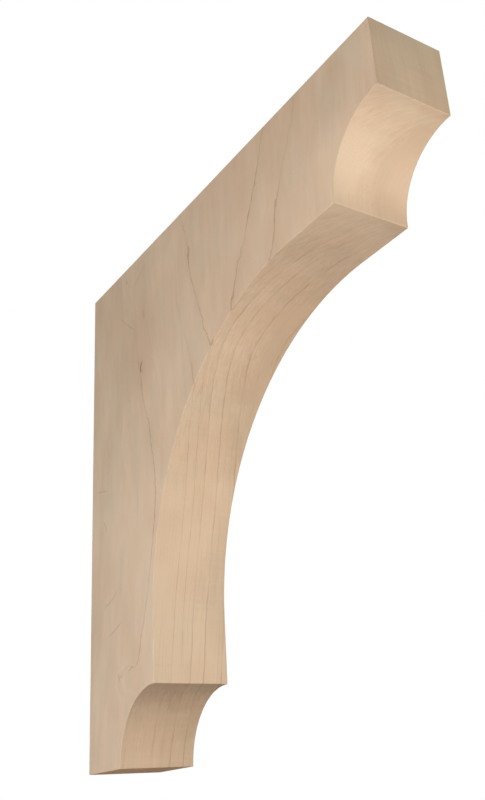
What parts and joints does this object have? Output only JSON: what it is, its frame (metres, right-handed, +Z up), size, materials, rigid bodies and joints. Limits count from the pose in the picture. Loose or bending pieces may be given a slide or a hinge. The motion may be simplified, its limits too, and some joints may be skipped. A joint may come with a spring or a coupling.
{
  "type": "wooden corbel bracket",
  "caption": "Flat wooden corbel bracket with a quarter-round arch between a coved nose and a coved foot, to carry a shelf or worktop from a wall.",
  "frame": {"origin": "middle of the back face, where the bracket is fixed to the wall", "axes": "the back face is the plane Y = 0 and faces +Y into the wall, the nose points to -Y, +Z is up, and X runs across the thickness"},
  "size_m": [0.045, 0.305, 0.305],
  "materials": {
    "maple": "bare hardwood, sanded smooth, unfinished, fibres running up the bracket"
  },
  "bodies": {
    "root": {"corbel": "maple"}
  },
  "joints": []
}
